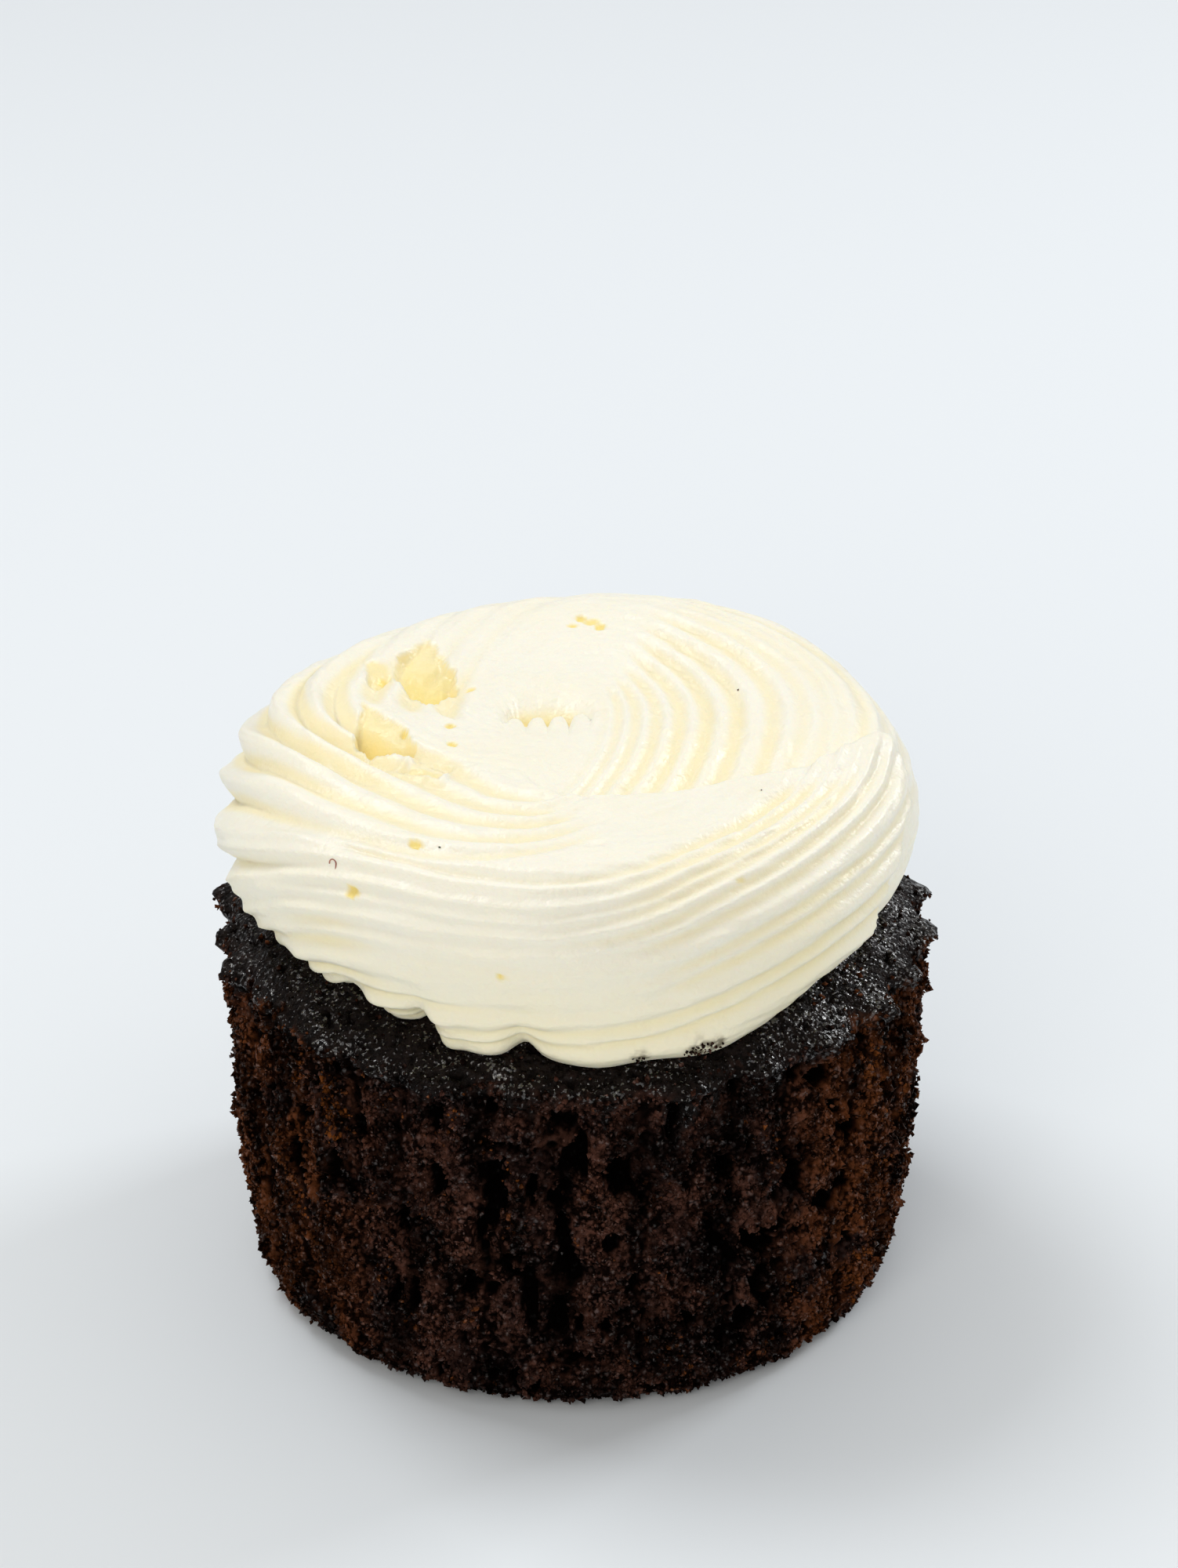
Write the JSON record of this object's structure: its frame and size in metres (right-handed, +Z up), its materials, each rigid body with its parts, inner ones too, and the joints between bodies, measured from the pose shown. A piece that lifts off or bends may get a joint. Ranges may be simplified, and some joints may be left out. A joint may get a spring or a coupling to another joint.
{
  "type": "cupcake",
  "caption": "Chocolate cupcake out of its paper case, with a torn fluted side and a flat swirl of piped cream with torn pits on top.",
  "frame": {"origin": "centre of the flat bottom of the cake, on the surface it stands on", "axes": "+Z up through the swirl; -Y is the side that the picture shows"},
  "size_m": [0.0719, 0.0703, 0.0593],
  "materials": {
    "chocolate_crumb": "dark moist crumb, rough and matte, with a slightly glossy crust on top",
    "piped_cream": "warm white whipped cream, soft satin, slightly translucent, yellower in its hollows"
  },
  "bodies": {
    "root": {"sponge": "chocolate_crumb", "cream_swirl": "piped_cream"}
  },
  "joints": []
}
